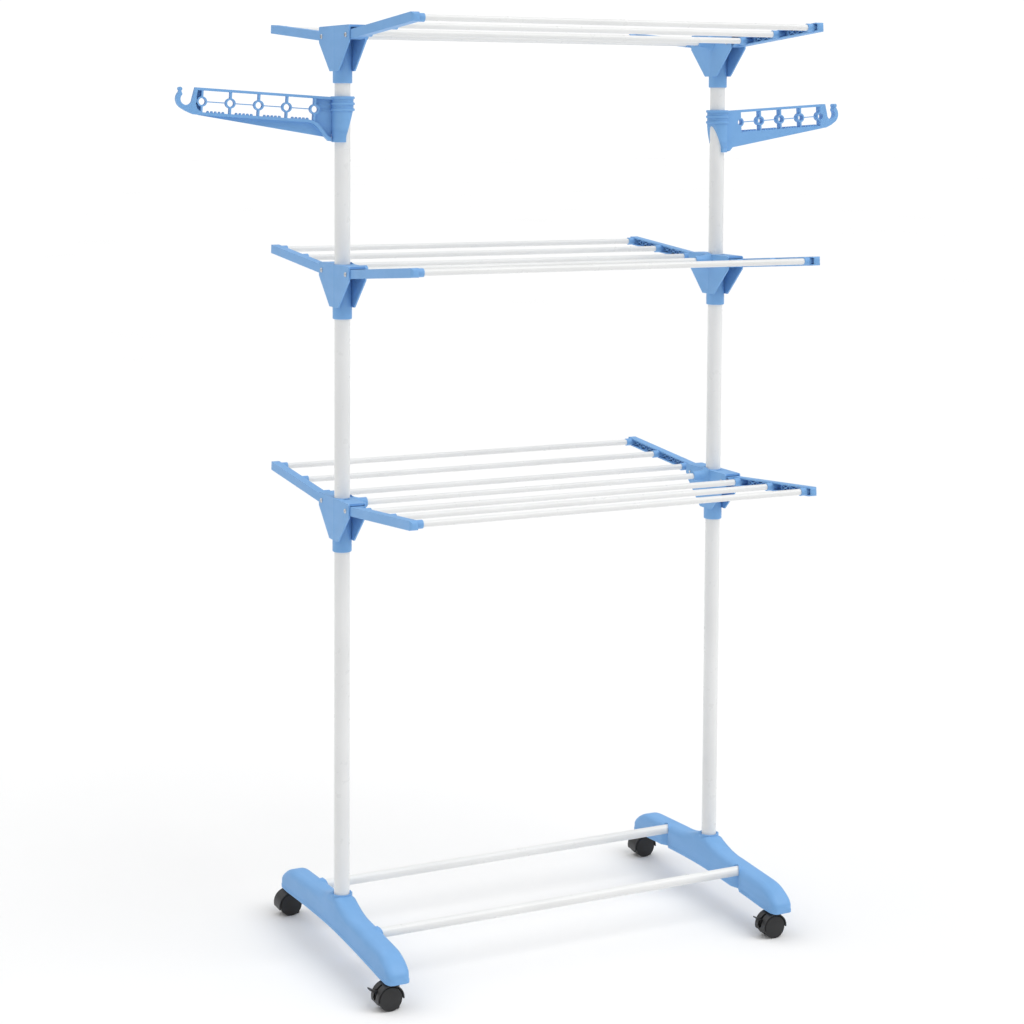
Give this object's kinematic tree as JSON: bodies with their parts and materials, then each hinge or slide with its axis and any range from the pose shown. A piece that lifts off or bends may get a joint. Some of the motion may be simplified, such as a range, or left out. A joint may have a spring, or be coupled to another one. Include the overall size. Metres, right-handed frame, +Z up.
{
  "type": "clothes drying rack",
  "caption": "Free-standing wheeled clothes airer: tiers of rods with fold-down wings between posts, swivel arms with ring holes for clothes hangers.",
  "frame": {"origin": "on the floor, centred between the two posts under the middle of the rack", "axes": "+X along the rods to the right, +Y from front to back, +Z up"},
  "size_m": [1.3606, 0.6768, 1.6856],
  "materials": {
    "blue_plastic": "satin",
    "white_coating": "smooth powder coat",
    "black_plastic": "satin",
    "castor_wheel": "satin",
    "plated_steel": "zinc plated"
  },
  "bodies": {
    "frame": {"left_foot": "blue_plastic", "right_foot": "blue_plastic", "left_low_bracket": "blue_plastic", "left_mid_bracket": "blue_plastic", "left_top_bracket": "blue_plastic", "right_low_bracket": "blue_plastic", "right_mid_bracket": "blue_plastic", "right_top_bracket": "blue_plastic", "front_base_tube": "white_coating", "back_base_tube": "white_coating", "left_low_post": "white_coating", "left_mid_post": "white_coating", "left_top_post": "white_coating", "right_low_post": "white_coating", "right_mid_post": "white_coating", "right_top_post": "white_coating", "low_crossbar": "white_coating", "mid_crossbar": "white_coating", "top_crossbar": "white_coating", "pivot_screws": "plated_steel", "castor_stems": "plated_steel"},
    "low_front_wing": {"low_front_left_arm": "blue_plastic", "low_front_right_arm": "blue_plastic", "low_front_rods": "white_coating"},
    "low_back_wing": {"low_back_left_arm": "blue_plastic", "low_back_right_arm": "blue_plastic", "low_back_rods": "white_coating"},
    "mid_front_wing": {"mid_front_left_arm": "blue_plastic", "mid_front_right_arm": "blue_plastic", "mid_front_rods": "white_coating"},
    "mid_back_wing": {"mid_back_left_arm": "blue_plastic", "mid_back_right_arm": "blue_plastic", "mid_back_rods": "white_coating"},
    "top_front_wing": {"top_front_left_arm": "blue_plastic", "top_front_right_arm": "blue_plastic", "top_front_rods": "white_coating"},
    "top_back_wing": {"top_back_left_arm": "blue_plastic", "top_back_right_arm": "blue_plastic", "top_back_rods": "white_coating"},
    "left_hanger_arm": {"left_hanger": "blue_plastic"},
    "right_hanger_arm": {"right_hanger": "blue_plastic"},
    "castor_front_left": {"castor_hood_front_left": "black_plastic"},
    "wheels_front_left": {"castor_wheels_front_left": "castor_wheel", "castor_axle_front_left": "plated_steel"},
    "brake_front_left": {"brake_lever_front_left": "black_plastic"},
    "castor_front_right": {"castor_hood_front_right": "black_plastic"},
    "wheels_front_right": {"castor_wheels_front_right": "castor_wheel", "castor_axle_front_right": "plated_steel"},
    "brake_front_right": {"brake_lever_front_right": "black_plastic"},
    "castor_back_left": {"castor_hood_back_left": "black_plastic"},
    "wheels_back_left": {"castor_wheels_back_left": "castor_wheel", "castor_axle_back_left": "plated_steel"},
    "castor_back_right": {"castor_hood_back_right": "black_plastic"},
    "wheels_back_right": {"castor_wheels_back_right": "castor_wheel", "castor_axle_back_right": "plated_steel"}
  },
  "joints": [
    {"name": "low_front_wing_fold", "type": "hinge", "parent": "frame", "child": "low_front_wing", "pos_m": [0, -0.058, 0.824], "axis": [-1, 0, 0], "range_deg": [-94.5, 0]},
    {"name": "low_back_wing_fold", "type": "hinge", "parent": "frame", "child": "low_back_wing", "pos_m": [0, 0.058, 0.824], "axis": [1, 0, 0], "range_deg": [-94.5, 0]},
    {"name": "mid_front_wing_fold", "type": "hinge", "parent": "frame", "child": "mid_front_wing", "pos_m": [0, -0.058, 1.24], "axis": [-1, 0, 0], "range_deg": [-94.5, 0]},
    {"name": "mid_back_wing_fold", "type": "hinge", "parent": "frame", "child": "mid_back_wing", "pos_m": [0, 0.058, 1.24], "axis": [1, 0, 0], "range_deg": [-94.5, 0]},
    {"name": "top_front_wing_fold", "type": "hinge", "parent": "frame", "child": "top_front_wing", "pos_m": [0, -0.058, 1.656], "axis": [-1, 0, 0], "range_deg": [-94.5, 0]},
    {"name": "top_back_wing_fold", "type": "hinge", "parent": "frame", "child": "top_back_wing", "pos_m": [0, 0.058, 1.656], "axis": [1, 0, 0], "range_deg": [-94.5, 0]},
    {"name": "left_hanger_swivel", "type": "hinge", "parent": "frame", "child": "left_hanger_arm", "pos_m": [-0.385, 0, 1.524], "axis": [0, 0, 1], "range_deg": [-56, 68]},
    {"name": "right_hanger_swivel", "type": "hinge", "parent": "frame", "child": "right_hanger_arm", "pos_m": [0.385, 0, 1.504], "axis": [0, 0, 1], "range_deg": [-68, 56]},
    {"name": "castor_front_left_swivel", "type": "hinge", "parent": "frame", "child": "castor_front_left", "pos_m": [-0.385, -0.243, 0.04], "axis": [0, 0, 1], "continuous": true},
    {"name": "wheels_front_left_roll", "type": "hinge", "parent": "castor_front_left", "child": "wheels_front_left", "pos_m": [-0.397, -0.243, 0.021], "axis": [0, 1, 0], "continuous": true},
    {"name": "brake_front_left_press", "type": "hinge", "parent": "castor_front_left", "child": "brake_front_left", "pos_m": [-0.4105, -0.243, 0.0295], "axis": [0, -1, 0], "range_deg": [0, 28]},
    {"name": "castor_front_right_swivel", "type": "hinge", "parent": "frame", "child": "castor_front_right", "pos_m": [0.385, -0.243, 0.04], "axis": [0, 0, 1], "continuous": true},
    {"name": "wheels_front_right_roll", "type": "hinge", "parent": "castor_front_right", "child": "wheels_front_right", "pos_m": [0.373, -0.243, 0.021], "axis": [0, 1, 0], "continuous": true},
    {"name": "brake_front_right_press", "type": "hinge", "parent": "castor_front_right", "child": "brake_front_right", "pos_m": [0.3595, -0.243, 0.0295], "axis": [0, -1, 0], "range_deg": [0, 28]},
    {"name": "castor_back_left_swivel", "type": "hinge", "parent": "frame", "child": "castor_back_left", "pos_m": [-0.385, 0.243, 0.04], "axis": [0, 0, 1], "continuous": true},
    {"name": "wheels_back_left_roll", "type": "hinge", "parent": "castor_back_left", "child": "wheels_back_left", "pos_m": [-0.397, 0.243, 0.021], "axis": [0, 1, 0], "continuous": true},
    {"name": "castor_back_right_swivel", "type": "hinge", "parent": "frame", "child": "castor_back_right", "pos_m": [0.385, 0.243, 0.04], "axis": [0, 0, 1], "continuous": true},
    {"name": "wheels_back_right_roll", "type": "hinge", "parent": "castor_back_right", "child": "wheels_back_right", "pos_m": [0.373, 0.243, 0.021], "axis": [0, 1, 0], "continuous": true}
  ]
}
